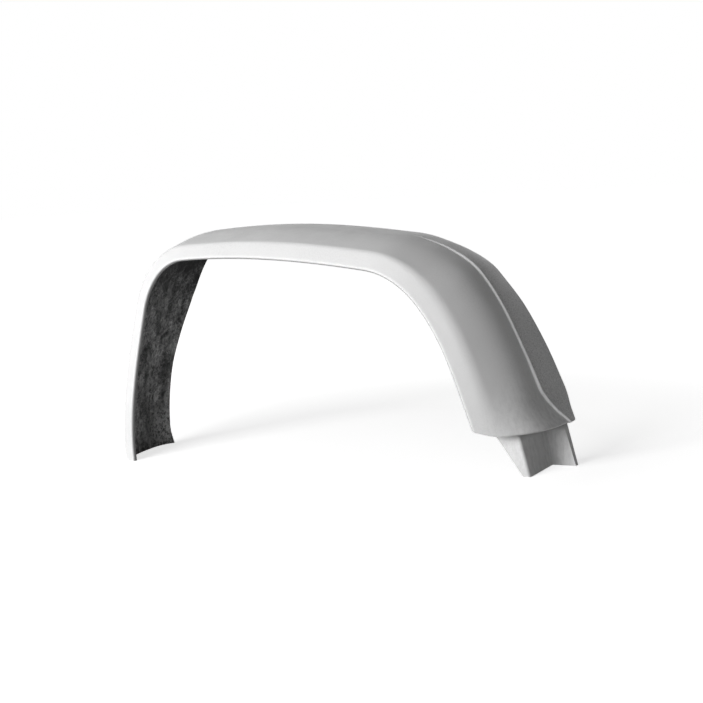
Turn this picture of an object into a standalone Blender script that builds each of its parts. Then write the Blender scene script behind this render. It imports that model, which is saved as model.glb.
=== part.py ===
# Truck cab fender: one glass-fibre moulding that arches over a single front wheel.
# The shell is lofted along its inner lip, joggles inward at the hem of the right leg
# and runs on down as the mounting stub. Metres, +Z up, front face towards -Y.

from collections import namedtuple
from math import atan2, cos, pi, radians, sin

import bmesh
import bpy
import numpy as np
from mathutils import Matrix, Vector

# The laminate
WALL = 0.0045

# The lip outline seen from the front. A knot is X, Z and the heading in degrees.
Knot = namedtuple("Knot", "x z heading")
LEFT_FOOT = Knot(0.013, 0.000, 92.0)
LEFT_SHOULDER = Knot(0.103, 0.466, 74.0)
CROWN_START = Knot(0.259, 0.618, 3.0)
CROWN_END = Knot(0.873, 0.577, -9.0)
RIGHT_SHOULDER = Knot(1.030, 0.477, -53.0)
HEM = Knot(1.180, 0.124, -71.0)
OUTLINE = (LEFT_FOOT, LEFT_SHOULDER, CROWN_START, CROWN_END, RIGHT_SHOULDER, HEM)

# Stations count along the outline: 0 at the left foot, 1 at the left shoulder, up to 5 at the hem.
FOOT_STATION = 0.0
HEM_STATION = 5.0
STRETCH_ROWS = (9, 12, 9, 10, 13)

# Section sizes that change along the outline, as (station, size) pairs
FACE_HEIGHT = ((0.0, 0.047), (1.0, 0.049), (2.0, 0.046), (2.5, 0.050), (4.0, 0.054), (5.0, 0.054))
FACE_SETBACK = ((0.0, 0.015), (1.0, 0.018), (2.5, 0.028), (5.0, 0.029))
CORNER_REACH = ((0.0, 0.011), (3.0, 0.013), (4.0, 0.020), (5.0, 0.022))
TREAD_RISE = ((0.0, 0.074), (1.0, 0.070), (1.5, 0.072), (2.0, 0.077), (2.5, 0.086), (3.0, 0.090),
              (3.3, 0.093), (3.6, 0.104), (4.0, 0.121), (4.4, 0.125), (4.6, 0.131), (4.8, 0.141),
              (5.0, 0.169))
TREAD_DEPTH = ((0.0, 0.185), (1.0, 0.200), (2.0, 0.205), (4.76, 0.205), (4.8, 0.212), (5.0, 0.253))
STEP_HEIGHT = ((0.0, 0.000), (2.9, 0.000), (3.4, 0.004), (3.8, 0.006), (5.0, 0.006))
REAR_DEPTH = ((0.0, 0.262), (0.5, 0.268), (0.75, 0.288), (1.1, 0.330), (1.5, 0.345),
              (4.0, 0.350), (4.5, 0.360), (4.8, 0.363), (5.0, 0.290))
REAR_DROP = ((0.0, 0.029), (0.12, 0.014), (0.5, 0.009), (1.1, 0.014), (1.5, 0.010), (3.0, 0.014),
             (3.6, 0.019), (4.05, 0.016), (4.3, 0.007), (4.6, 0.001), (5.0, 0.001))

# Constant section sizes
LIP_RADIUS = 0.008
LIP_RETURN = 0.003
STEP_WIDTH = 0.006

# How the tread bends, as shares of the way from the face's outer edge to the crease
TREAD_NEAR = Vector((0.52, 0.80))
TREAD_FAR = Vector((0.62, 0.90))
HEM_NEAR = Vector((0.28, 0.74))
HEM_FAR = Vector((0.46, 0.94))
HEM_REACH = 0.35

# Trim of the two ends
TRIM_LENGTH = 0.8
LIP_LIFT = 0.021
HEM_KICK = 0.004
KICK_LENGTH = 0.10
HEM_RADIUS = 0.003
HEM_CROWDING = 1.35

# The mounting stub below the hem
STUB_FRONT = 0.090
STUB_STEP = 0.245
STUB_CORNER_RADIUS = 0.009
STUB_INNER_TOP = 1.195
STUB_INNER_FOOT = 1.279
STUB_SIDE_TOP = 1.272
STUB_SIDE_FOOT = 1.300
STUB_BACK_TOP = 1.284
STUB_BACK_FOOT = 1.302
STUB_BAND_TOP = 1.339
STUB_BAND_FOOT = 1.371
STUB_REAR_TOP = 0.270
STUB_REAR_FOOT = 0.262
STUB_ROWS = 3

# Columns of the section
LIP_COLUMNS = 4
FACE_COLUMNS = 2
CORNER_COLUMNS = 4
PLATE_COLUMNS = 1
ARRIS_COLUMNS = 2
SIDE_COLUMNS = 4
STEP_COLUMNS = 3
TREAD_COLUMNS = PLATE_COLUMNS + ARRIS_COLUMNS + SIDE_COLUMNS + STEP_COLUMNS
STRIP_COLUMNS = 3

# Finish
GELCOAT_GREY = (0.72, 0.72, 0.72, 1.0)
GELCOAT_ROUGHNESS = 0.35
SHARP_ANGLE = 35


def clear_scene():
    for item in list(bpy.data.objects):
        bpy.data.objects.remove(item, do_unlink=True)


def size_at(pairs, station):
    """A size at a station, on a monotone cubic through its (station, size) pairs."""
    x = np.array([pair[0] for pair in pairs])
    y = np.array([pair[1] for pair in pairs])
    slope = np.diff(y) / np.diff(x)
    tangent = np.zeros(len(x))
    same_way = slope[:-1] * slope[1:] > 0.0
    both = np.where(same_way, slope[:-1] + slope[1:], 1.0)
    tangent[1:-1] = np.where(same_way, 2.0 * slope[:-1] * slope[1:] / both, 0.0)
    tangent[0] = slope[0]
    tangent[-1] = slope[-1]
    i = int(np.clip(np.searchsorted(x, station) - 1, 0, len(x) - 2))
    span = x[i + 1] - x[i]
    t = min(max((station - x[i]) / span, 0.0), 1.0)
    return float((1 + 2 * t) * (1 - t) ** 2 * y[i] + t * (1 - t) ** 2 * span * tangent[i]
                 + t * t * (3 - 2 * t) * y[i + 1] + t * t * (t - 1) * span * tangent[i + 1])


def ease(value):
    value = min(max(value, 0.0), 1.0)
    return value * value * (3.0 - 2.0 * value)


def bezier(p0, p1, p2, p3, t):
    return p0 * (1 - t) ** 3 + p1 * (3 * t * (1 - t) ** 2) + p2 * (3 * t * t * (1 - t)) + p3 * t ** 3


def lip_point(station):
    """Place and heading of the inner lip, on arcs drawn between the outline's knots."""
    i = min(int(station), len(OUTLINE) - 2)
    t = station - i
    start, end = OUTLINE[i], OUTLINE[i + 1]
    p0 = Vector((start.x, start.z))
    p3 = Vector((end.x, end.z))
    turn = radians(end.heading - start.heading)
    handle = (p3 - p0).length / (3.0 * cos(turn / 4.0) ** 2)
    p1 = p0 + handle * Vector((cos(radians(start.heading)), sin(radians(start.heading))))
    p2 = p3 - handle * Vector((cos(radians(end.heading)), sin(radians(end.heading))))
    tangent = (p1 - p0) * (1 - t) ** 2 + (p2 - p1) * (2 * t * (1 - t)) + (p3 - p2) * t * t
    return bezier(p0, p1, p2, p3, t), atan2(tangent.y, tangent.x)


def outward(station, heading):
    """Direction from the wheel outward: square to the lip, level where an end is trimmed."""
    angle = heading + pi / 2
    at_foot = ease(1.0 - (station - FOOT_STATION) / TRIM_LENGTH)
    at_hem = ease(1.0 - (HEM_STATION - station) / TRIM_LENGTH)
    angle += at_foot * (pi - angle) - at_hem * angle
    return Vector((cos(angle), sin(angle)))


def section(station):
    """Outer surface of one section as (depth, rise) points, from the lip's edge to the rear edge."""
    face = Vector((size_at(FACE_SETBACK, station), size_at(FACE_HEIGHT, station)))
    crease = Vector((size_at(TREAD_DEPTH, station), size_at(TREAD_RISE, station)))
    crease.y += HEM_KICK * ease(1.0 - (HEM_STATION - station) / KICK_LENGTH)
    reach = size_at(CORNER_REACH, station)
    points = [Vector((LIP_RADIUS + LIP_RETURN, 0.0))]
    for i in range(LIP_COLUMNS - 1):
        a = pi / 2 * i / (LIP_COLUMNS - 2)
        points.append(Vector((LIP_RADIUS * (1 - sin(a)), LIP_RADIUS * (1 - cos(a)))))
    # the front face, up to where its corner starts
    face_start = points[-1].copy()
    corner_start = face + (face_start - face).normalized() * reach
    for i in range(1, FACE_COLUMNS + 1):
        points.append(face_start.lerp(corner_start, i / FACE_COLUMNS))
    # the tread, a full curve from the corner to the crease
    across = crease - face
    near_hem = ease(1.0 - (HEM_STATION - station) / HEM_REACH)
    near = face + across * TREAD_NEAR.lerp(HEM_NEAR, near_hem)
    far = face + across * TREAD_FAR.lerp(HEM_FAR, near_hem)
    leave = reach / (3.0 * (near - face).length)
    corner_end = bezier(face, near, far, crease, leave)
    for i in range(1, CORNER_COLUMNS + 1):
        t = i / CORNER_COLUMNS
        points.append(corner_start * (1 - t) ** 2 + face * (2 * t * (1 - t)) + corner_end * t * t)
    for i in range(1, TREAD_COLUMNS + 1):
        points.append(bezier(face, near, far, crease, leave + (1 - leave) * i / TREAD_COLUMNS))
    # the step up to the rear strip, and the strip rolling over to the rear edge
    ridge = crease + Vector((STEP_WIDTH, size_at(STEP_HEIGHT, station)))
    points.append(ridge)
    width = size_at(REAR_DEPTH, station) - ridge.x
    drop = size_at(REAR_DROP, station)
    for i in range(1, STRIP_COLUMNS + 1):
        t = i / STRIP_COLUMNS
        points.append(ridge + Vector((width * t, -drop * t * t)))
    return points


def walled(outline):
    """Pairs each point of an outline with the one behind it, on the laminate's inner face."""
    runs = [(end - start).normalized() for start, end in zip(outline[:-1], outline[1:])]
    pairs = []
    for point, before, after in zip(outline, runs[:1] + runs, runs + runs[-1:]):
        square = Vector((before.y + after.y, -before.x - after.x))
        pairs.append((point, point + square * (WALL / (1.0 + before.dot(after)))))
    return pairs


def shell_row(station):
    """Outer and inner points of the shell where it is cut across at a station."""
    lip, heading = lip_point(station)
    out = outward(station, heading)
    along = Vector((cos(heading), sin(heading)))
    at_hem = ease(1.0 - (HEM_STATION - station) / KICK_LENGTH)
    face = size_at(FACE_HEIGHT, station)
    row = []
    for pair in walled(section(station)):
        lift = LIP_LIFT * at_hem * max(0.0, 1.0 - pair[0].y / face)
        places = [lip + out * point.y - along * lift for point in pair]
        row.append([Vector((place.x, point.x, place.y)) for place, point in zip(places, pair)])
    return row


def stub_row(height):
    """Outer and inner points of the stub at a height: front plate, side, step and rear band."""
    fall = 1.0 - height / HEM.z
    inner = STUB_INNER_TOP + (STUB_INNER_FOOT - STUB_INNER_TOP) * fall
    side = STUB_SIDE_TOP + (STUB_SIDE_FOOT - STUB_SIDE_TOP) * fall
    back = STUB_BACK_TOP + (STUB_BACK_FOOT - STUB_BACK_TOP) * fall
    band = STUB_BAND_TOP + (STUB_BAND_FOOT - STUB_BAND_TOP) * fall
    rear = STUB_REAR_TOP + (STUB_REAR_FOOT - STUB_REAR_TOP) * fall
    r = STUB_CORNER_RADIUS
    front_start = Vector((inner, STUB_FRONT))
    front_end = Vector((side - r, STUB_FRONT))
    side_start = Vector((side, STUB_FRONT + r))
    side_end = Vector((back, STUB_STEP))
    step_end = Vector((band, STUB_STEP))
    band_end = Vector((band, rear))
    outline = [front_start]
    front_columns = LIP_COLUMNS + FACE_COLUMNS + CORNER_COLUMNS + PLATE_COLUMNS
    for i in range(1, front_columns):
        outline.append(front_start.lerp(front_end, i / (front_columns - 1)))
    for i in range(1, ARRIS_COLUMNS + 1):
        a = pi / 2 * i / ARRIS_COLUMNS
        outline.append(front_end + Vector((r * sin(a), r - r * cos(a))))
    for i in range(1, SIDE_COLUMNS + 1):
        outline.append(side_start.lerp(side_end, i / SIDE_COLUMNS))
    for i in range(1, STEP_COLUMNS + 1):
        outline.append(side_end.lerp(step_end, i / STEP_COLUMNS))
    for i in range(1, STRIP_COLUMNS + 2):
        outline.append(step_end.lerp(band_end, i / (STRIP_COLUMNS + 1)))
    row = []
    for outer, behind in walled([Vector((-point.x, point.y)) for point in outline]):
        row.append([Vector((-outer.x, outer.y, height)), Vector((-behind.x, behind.y, height))])
    return row


def joggle_rows(hem, stub_top):
    """The hem turned under to the ledge, and the ledge's inner corner at the top of the stub."""
    drop = Vector((0.0, 0.0, HEM_RADIUS))
    wall = Vector((0.0, 0.0, WALL))
    shell_end = []
    under = []
    for (edge, edge_inside), (top, top_inside) in zip(hem, stub_top):
        inward = Vector((top.x - edge.x, top.y - edge.y, 0.0)).normalized() * HEM_RADIUS
        low = edge + inward - drop
        shell_end.append([edge, Vector((edge_inside.x, edge_inside.y, low.z + WALL))])
        under.append([low, Vector((edge_inside.x, edge_inside.y, low.z + WALL)) + inward])
    corner = [[top, top_inside + wall] for top, top_inside in stub_top]
    return [shell_end, under, corner]


def fender_rows():
    rows = []
    for stretch, count in enumerate(STRETCH_ROWS):
        for i in range(count):
            step = i / count
            if stretch == len(STRETCH_ROWS) - 1:
                step = 1.0 - (1.0 - step) ** HEM_CROWDING
            rows.append(shell_row(stretch + step))
    ledge = HEM.z - HEM_RADIUS
    rows += joggle_rows(shell_row(HEM_STATION), stub_row(ledge))
    for i in range(1, STUB_ROWS + 1):
        rows.append(stub_row(ledge * (1 - i / STUB_ROWS)))
    return rows


def shell_mesh(name, rows):
    """One closed wall: the outer sheet, the inner sheet behind it and the trimmed edges."""
    mesh = bpy.data.meshes.new(name)
    bm = bmesh.new()
    outer = [[bm.verts.new(pair[0]) for pair in row] for row in rows]
    inner = [[bm.verts.new(pair[1]) for pair in row] for row in rows]
    last_row = len(rows) - 1
    last_column = len(rows[0]) - 1
    for i in range(last_row):
        for j in range(last_column):
            bm.faces.new((outer[i][j], outer[i + 1][j], outer[i + 1][j + 1], outer[i][j + 1]))
            bm.faces.new((inner[i][j], inner[i][j + 1], inner[i + 1][j + 1], inner[i + 1][j]))
        bm.faces.new((outer[i][0], inner[i][0], inner[i + 1][0], outer[i + 1][0]))
        end = last_column
        bm.faces.new((outer[i][end], outer[i + 1][end], inner[i + 1][end], inner[i][end]))
    for j in range(last_column):
        bm.faces.new((outer[0][j], outer[0][j + 1], inner[0][j + 1], inner[0][j]))
        end = last_row
        bm.faces.new((outer[end][j], inner[end][j], inner[end][j + 1], outer[end][j + 1]))
    bm.to_mesh(mesh)
    bm.free()
    return mesh


def gelcoat():
    material = bpy.data.materials.new("grey_gelcoat")
    material.use_nodes = True
    shader = material.node_tree.nodes["Principled BSDF"]
    shader.inputs["Base Color"].default_value = GELCOAT_GREY
    shader.inputs["Roughness"].default_value = GELCOAT_ROUGHNESS
    shader.inputs["Metallic"].default_value = 0.0
    return material


def fender_shell():
    mesh = shell_mesh("fender_shell", fender_rows())
    corners = np.array([vertex.co for vertex in mesh.vertices])
    low = corners.min(axis=0)
    high = corners.max(axis=0)
    mesh.transform(Matrix.Translation((-(low[0] + high[0]) / 2, -(low[1] + high[1]) / 2, -low[2])))
    mesh.shade_smooth()
    mesh.set_sharp_from_angle(angle=radians(SHARP_ANGLE))
    mesh.materials.append(gelcoat())
    shell = bpy.data.objects.new("fender_shell", mesh)
    bpy.context.collection.objects.link(shell)


clear_scene()
fender_shell()
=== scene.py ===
# %% [markdown]
# # A truck cab's fender, moulded in glass fibre
#
# The object is one thin moulding. It arches over a front wheel, its face is a flat lip, and its
# tread swells and widens down one leg until it steps in to a mounting stub. The outside is grey
# gelcoat, sprayed into a polished mould. The inside is raw laminate, dark and rough as it was
# laid up.
#
# The lesson draws the moulding from a cage of curves with Geometry Nodes, gives it a wall, makes
# its three finishes from nodes, and lights it like a plain studio product shot.

from math import atan2, cos, pi, radians, sin

import bpy
from mathutils import Matrix, Vector


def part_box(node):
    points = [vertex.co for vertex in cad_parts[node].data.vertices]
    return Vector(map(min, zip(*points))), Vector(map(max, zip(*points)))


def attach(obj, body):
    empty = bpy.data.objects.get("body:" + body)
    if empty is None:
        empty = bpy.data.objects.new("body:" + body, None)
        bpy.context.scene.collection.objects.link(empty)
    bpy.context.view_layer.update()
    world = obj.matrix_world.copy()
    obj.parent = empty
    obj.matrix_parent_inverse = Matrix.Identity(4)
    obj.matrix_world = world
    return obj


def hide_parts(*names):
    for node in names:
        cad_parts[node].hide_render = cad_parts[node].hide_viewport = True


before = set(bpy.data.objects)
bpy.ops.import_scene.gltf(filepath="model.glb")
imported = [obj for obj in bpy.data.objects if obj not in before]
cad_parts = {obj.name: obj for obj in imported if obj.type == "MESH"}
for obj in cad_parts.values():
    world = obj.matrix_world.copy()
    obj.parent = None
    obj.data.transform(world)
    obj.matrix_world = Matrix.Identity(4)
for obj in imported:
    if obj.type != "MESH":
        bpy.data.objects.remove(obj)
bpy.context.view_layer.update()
NODE_LOW, NODE_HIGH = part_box("fender_shell")
print("The solid measures", [round(size, 3) for size in NODE_HIGH - NODE_LOW], "metres")

# %% [markdown]
# ## One helper for every node
#
# Shader trees and geometry trees are built from the same parts: a node, its settings and its
# links. One function that adds a node is enough for both, and keeps each tree readable from top
# to bottom. It hands back the node's output, because that is what the next node needs.
#
# An input is called by its name or, where several share a name, by its number. A Map Range takes
# a value (0), the range it comes from (1, 2) and the range it goes to (3, 4). A Mix takes a
# factor (0) and its two ends, which are vectors (4, 5) or colours (6, 7).

# %% Adding a node


def add(tree, kind, inputs=None, out=0, **settings):
    """Adds one node and gives its output, or the node itself if out is None.

    Settings are the node's properties. Each input gets a value or another node's output."""
    node = tree.nodes.new(kind)
    for name, value in settings.items():
        setattr(node, name, value)
    for name, source in (inputs or {}).items():
        if isinstance(source, bpy.types.NodeSocket):
            tree.links.new(source, node.inputs[name])
        else:
            node.inputs[name].default_value = source
    return node if out is None else node.outputs[out]


def linear(hex_code):
    """A colour written as sRGB hex, turned to the linear values that a shader takes."""
    values = [int(hex_code[i:i + 2], 16) / 255 for i in (1, 3, 5)]
    values = [v / 12.92 if v <= 0.04045 else ((v + 0.055) / 1.055) ** 2.4 for v in values]
    return (*values, 1.0)


MM = 0.001
print("A mid grey of #808080 is", round(linear("#808080")[0], 3), "in linear light")

# %% [markdown]
# ## The lip's line
#
# Seen from the front, the inner lip is the line that everything else hangs on: up the narrow leg,
# round its shoulder, along a nearly level crown and down the raking leg to the hem. A designer
# fixes a few knots on it, each with a place and a heading, and lets smooth arcs run between them.
# A Bezier arc whose handles follow the chord and the turn stays close to a round arc, so six
# knots are enough.
# A station counts along the line: 0 at the foot, 1 at the first shoulder, and 5 at the hem.

# %% The lip's knots
KNOTS = (  # metres to the right, metres up, heading in degrees
    (0.013, 0.000, 92.0),
    (0.103, 0.466, 74.0),
    (0.259, 0.618, 3.0),
    (0.873, 0.577, -9.0),
    (1.030, 0.477, -53.0),
    (1.180, 0.124, -71.0),
)
HEM_STATION = len(KNOTS) - 1
HEM_HEIGHT = KNOTS[-1][1]


def lip(station):
    """Place and heading of the lip at a station."""
    i = min(int(station), HEM_STATION - 1)
    t = station - i
    (x0, z0, from_angle), (x1, z1, to_angle) = KNOTS[i], KNOTS[i + 1]
    start, end = Vector((x0, z0)), Vector((x1, z1))
    handle = (end - start).length / (3 * cos(radians(to_angle - from_angle) / 4) ** 2)
    near = start + handle * Vector((cos(radians(from_angle)), sin(radians(from_angle))))
    far = end - handle * Vector((cos(radians(to_angle)), sin(radians(to_angle))))
    tangent = (near - start) * (1 - t) ** 2 + (far - near) * 2 * t * (1 - t) + (end - far) * t * t
    place = start * (1 - t) ** 3 + near * 3 * t * (1 - t) ** 2
    place = place + far * 3 * t * t * (1 - t) + end * t ** 3
    return place, atan2(tangent.y, tangent.x)


print("The crown's lip is", round(lip(2.5)[0].y, 3), "m above the floor")

# %% [markdown]
# ## Sizes that change along the line
#
# The moulding has one family of cross-sections, and only its sizes change: the face grows a
# little, the tread more than doubles in height, and its crease swings back near the hem. So each
# size is a short list of (station, size) pairs with a smooth curve through them. The curve must
# never overshoot, or a dent would show in the gloss, so its slope at each pair is the harmonic
# mean of its neighbours' slopes.

# %% The changing sizes
FACE_HEIGHT = ((0, 0.047), (1, 0.049), (2, 0.046), (2.5, 0.050), (4, 0.054), (5, 0.054))
FACE_SETBACK = ((0, 0.015), (1, 0.018), (2.5, 0.028), (5, 0.029))
CORNER_REACH = ((0, 0.011), (1.3, 0.008), (2.7, 0.009), (4, 0.018), (5, 0.022))
TREAD_RISE = (
    (0, 0.074), (1, 0.070), (1.5, 0.072), (2, 0.077), (2.5, 0.086), (3, 0.090), (3.3, 0.093),
    (3.6, 0.104), (4, 0.121), (4.4, 0.125), (4.6, 0.131), (4.8, 0.138), (5, 0.166),
)
TREAD_DEPTH = ((0, 0.185), (1, 0.200), (2, 0.205), (4.76, 0.205), (4.8, 0.212), (5, 0.253))
STEP_HEIGHT = (
    (0, 0), (2.9, 0), (3.4, 0.003), (3.8, 0.0055), (4.5, 0.006), (4.8, 0.009), (5, 0.009),
)
REAR_DEPTH = (
    (0, 0.262), (0.5, 0.268), (0.75, 0.288), (1.1, 0.330), (1.5, 0.345), (4, 0.350),
    (4.5, 0.360), (4.8, 0.363), (5, 0.290),
)
REAR_DROP = (
    (0, 0.029), (0.12, 0.014), (0.5, 0.009), (1.1, 0.014), (1.5, 0.010), (3, 0.014),
    (3.6, 0.019), (4.05, 0.016), (4.3, 0.007), (4.6, 0.001), (5, 0.001),
)


def size_at(pairs, station):
    """The size at a station, on a smooth curve that never overshoots its pairs."""
    runs = [(b[1] - a[1]) / (b[0] - a[0]) for a, b in zip(pairs, pairs[1:])]
    slopes = [2 * a * b / (a + b) if a * b > 0 else 0.0 for a, b in zip(runs, runs[1:])]
    slopes = runs[:1] + slopes + runs[-1:]
    i = max(k for k in range(len(runs)) if k == 0 or pairs[k][0] < station)
    (x0, y0), (x1, y1) = pairs[i], pairs[i + 1]
    t = min(max((station - x0) / (x1 - x0), 0.0), 1.0)
    bend = t * (1 - t) * (x1 - x0) * ((1 - t) * slopes[i] - t * slopes[i + 1])
    return y0 + (y1 - y0) * t * t * (3 - 2 * t) + bend


print("The tread is", round(size_at(TREAD_RISE, HEM_STATION) / MM), "mm high at the hem")

# %% [markdown]
# ## One section as a chain of curves
#
# Across the moulding the outline is lip edge, rolled lip, flat face, rounded corner, domed tread,
# a small step, and the strip that rolls over to the rear edge. Each of these is one cubic curve
# of four points, and two neighbours share a point. The tread is one curve cut in four, because
# further down its parts turn into the stub's walls. That makes ten curves and thirty-one points.
# Few points that mean something are better than many that don't: the tree below draws as many
# columns between them as the render needs.

# %% The section's sizes
CURVE_POINTS = 3  # a curve adds three points to the one that it shares
LIP_RADIUS = 0.008
LIP_RETURN = 0.003
STEP_WIDTH = 0.006
# The tread's two handles are shares of the way from the face to the crease, in depth and rise.
TREAD_NEAR = Vector((0.52, 0.80))
TREAD_FAR = Vector((0.62, 0.90))
HEM_NEAR = Vector((0.28, 0.74))
HEM_FAR = Vector((0.46, 0.94))
TREAD_CUTS = (0.0, 0.1, 0.3, 0.7, 1.0)
ARC = 0.5523  # the handle that makes a curve a quarter of a circle, as a share of its radius
HEM_KICK = 0.004
HEM_REACH = 0.35  # this length and the next are counted in stations
KICK_LENGTH = 0.10

print("The lip is rolled at", LIP_RADIUS / MM, "mm, and the step is", STEP_WIDTH / MM, "mm wide")

# %% Easing, lines and pieces of curves


def ease(value):
    """Turns a share from 0 to 1 into one that starts and ends softly."""
    value = min(max(value, 0.0), 1.0)
    return value * value * (3 - 2 * value)


def straight(start, end):
    """A straight line written as a cubic curve."""
    return [start, start.lerp(end, 1 / 3), start.lerp(end, 2 / 3), end]


def piece_of(curve, start, end):
    """The part of a cubic curve between two of its parameters, as a cubic curve."""
    def blossom(*cuts):
        p = list(curve)
        for t in cuts:
            p = [u.lerp(v, t) for u, v in zip(p, p[1:])]
        return p[0]
    return [blossom(start, start, start), blossom(start, start, end), blossom(start, end, end),
            blossom(end, end, end)]


print("Halfway, ease gives", ease(0.5), "and near the start it gives", round(ease(0.1), 3))

# %% The section's curves


def section(station):
    """The section's curves as (depth, rise) points, from the lip's edge to the rear edge."""
    face = Vector((size_at(FACE_SETBACK, station), size_at(FACE_HEIGHT, station)))
    crease = Vector((size_at(TREAD_DEPTH, station), size_at(TREAD_RISE, station)))
    crease.y += HEM_KICK * ease(1 - (HEM_STATION - station) / KICK_LENGTH)
    reach = size_at(CORNER_REACH, station)
    r = LIP_RADIUS
    edge, roll, front = Vector((r + LIP_RETURN, 0)), Vector((r, 0)), Vector((0, r))
    lip_roll = [roll, Vector((r - r * ARC, 0)), Vector((0, r - r * ARC)), front]
    across = crease - face
    near_hem = ease(1 - (HEM_STATION - station) / HEM_REACH)
    near = face + across * TREAD_NEAR.lerp(HEM_NEAR, near_hem)
    far = face + across * TREAD_FAR.lerp(HEM_FAR, near_hem)
    tread = piece_of((face, near, far, crease), reach / (3 * (near - face).length), 1.0)
    corner_start = face + (front - face).normalized() * reach
    corner = [corner_start, corner_start.lerp(face, 2 / 3), tread[0].lerp(face, 2 / 3), tread[0]]
    ridge = crease + Vector((STEP_WIDTH, size_at(STEP_HEIGHT, station)))
    width = size_at(REAR_DEPTH, station) - ridge.x
    drop = size_at(REAR_DROP, station)
    strip = [ridge, ridge + Vector((width / 3, 0)), ridge + Vector((width * 2 / 3, -drop / 3)),
             ridge + Vector((width, -drop))]
    step = [crease, crease + (tread[3] - tread[2]).normalized() * STEP_WIDTH / 3,
            ridge - Vector((STEP_WIDTH / 3, 0)), ridge]
    legs = [straight(edge, roll), lip_roll, straight(front, corner_start), corner]
    legs += [piece_of(tread, a, b) for a, b in zip(TREAD_CUTS, TREAD_CUTS[1:])]
    return legs + [step, strip]


LEGS = len(section(0))
print("A section has", LEGS, "curves and", CURVE_POINTS * LEGS + 1, "points")

# %% [markdown]
# ## Rows down the shell
#
# A row is one section stood up on the lip's line. It stands square to the line, except near the
# two trimmed ends, where it turns level, so that the ends are cut flat as a saw cuts a moulding.
# The lip lifts a little just before the hem, as it does where such a mould is parted.

# %% The shell's rows
STRETCH_ROWS = (24, 34, 24, 28, 40)
HEM_CROWDING = 1.35
TRIM_LENGTH = 0.8
LIP_LIFT = 0.021


def chain(legs):
    """The points of a chain of curves, each shared point once."""
    return [legs[0][0]] + [point for leg in legs for point in leg[1:]]


def shell_row(station):
    """The section's points in space at a station."""
    place, heading = lip(station)
    angle = heading + pi / 2
    at_foot, at_hem = (ease(1 - away / TRIM_LENGTH) for away in (station, HEM_STATION - station))
    angle += at_foot * (pi - angle) - at_hem * angle
    out = Vector((cos(angle), sin(angle)))
    along = Vector((cos(heading), sin(heading)))
    lift = LIP_LIFT * ease(1 - (HEM_STATION - station) / KICK_LENGTH)
    face = size_at(FACE_HEIGHT, station)
    row = []
    for point in chain(section(station)):
        spot = place + out * point.y - along * lift * max(0.0, 1 - point.y / face)
        row.append(Vector((spot.x, point.x, spot.y)))
    return row


def shell_stations():
    """The stations of all rows. The last stretch has them closer together towards the hem."""
    for stretch, count in enumerate(STRETCH_ROWS):
        for i in range(count):
            step = i / count
            if stretch == len(STRETCH_ROWS) - 1:
                step = 1 - (1 - step) ** HEM_CROWDING
            yield stretch + step
    yield HEM_STATION


shell_rows = [shell_row(station) for station in shell_stations()]
print(len(shell_rows), "rows run from the foot to the hem")

# %% [markdown]
# ## The stub and the joggle
#
# Below the hem the moulding is set back on every side, so that the next panel can lap over it. In
# plan the stub is a slanted front plate, a rounded corner, a side wall, a flat flange and a
# narrow band. The same thirty-one points serve here: the first five curves lie along the plate,
# and the cuts in the tread become the corner, the wall and the flange. Between hem and stub a row
# of points turns under on a small radius, runs inwards as a ledge, and turns down again. A wall
# can only turn inside a radius larger than itself, so the hem's radius is a little more than the
# laminate's thickness.

# %% The stub's sizes
WALL = 0.0045
HEM_RADIUS = 0.005
STUB_FRONT = 0.090
STUB_STEP = 0.245
STUB_CORNER_RADIUS = 0.009
# Each of these pairs gives a place at the hem and at the foot.
STUB_INNER = (1.195, 1.279)
STUB_SIDE = (1.272, 1.300)
STUB_BACK = (1.284, 1.302)
STUB_BAND = (1.339, 1.371)
STUB_REAR = (0.270, 0.262)

STUB_ROWS = 12
TURN_ROWS = 4
LEDGE_ROWS = 5
PLATE_SHARES = (0.0, 0.1, 0.3, 0.5, 0.9, 1.0)
BAND_SHARE = 0.25

print("The stub is", round((STUB_BAND[1] - STUB_INNER[1]) / MM), "mm wide at its foot")

# %% The stub's outline


def stub_row(height):
    """The stub's outline in plan at a height, as the same chain of curves as a section."""
    fall = 1 - height / HEM_HEIGHT
    inner, side, back, band, rear = (
        top + (foot - top) * fall
        for top, foot in (STUB_INNER, STUB_SIDE, STUB_BACK, STUB_BAND, STUB_REAR))
    r = STUB_CORNER_RADIUS
    start, end = Vector((inner, STUB_FRONT)), Vector((side - r, STUB_FRONT))
    side_start, side_end = Vector((side, STUB_FRONT + r)), Vector((back, STUB_STEP))
    flange_end, rear_end = Vector((band, STUB_STEP)), Vector((band, rear))
    band_cut = flange_end.lerp(rear_end, BAND_SHARE)
    legs = [straight(start.lerp(end, a), start.lerp(end, b))
            for a, b in zip(PLATE_SHARES, PLATE_SHARES[1:])]
    legs.append([end, end + Vector((r * ARC, 0)), side_start - Vector((0, r * ARC)), side_start])
    legs += [straight(side_start, side_end), straight(side_end, flange_end)]
    legs += [straight(flange_end, band_cut), straight(band_cut, rear_end)]
    return [Vector((point.x, point.y, height)) for point in chain(legs)]


print("The stub's outline has", len(stub_row(0.0)), "points, as a section has")

# %% The joggle's rows and the stub's


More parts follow.
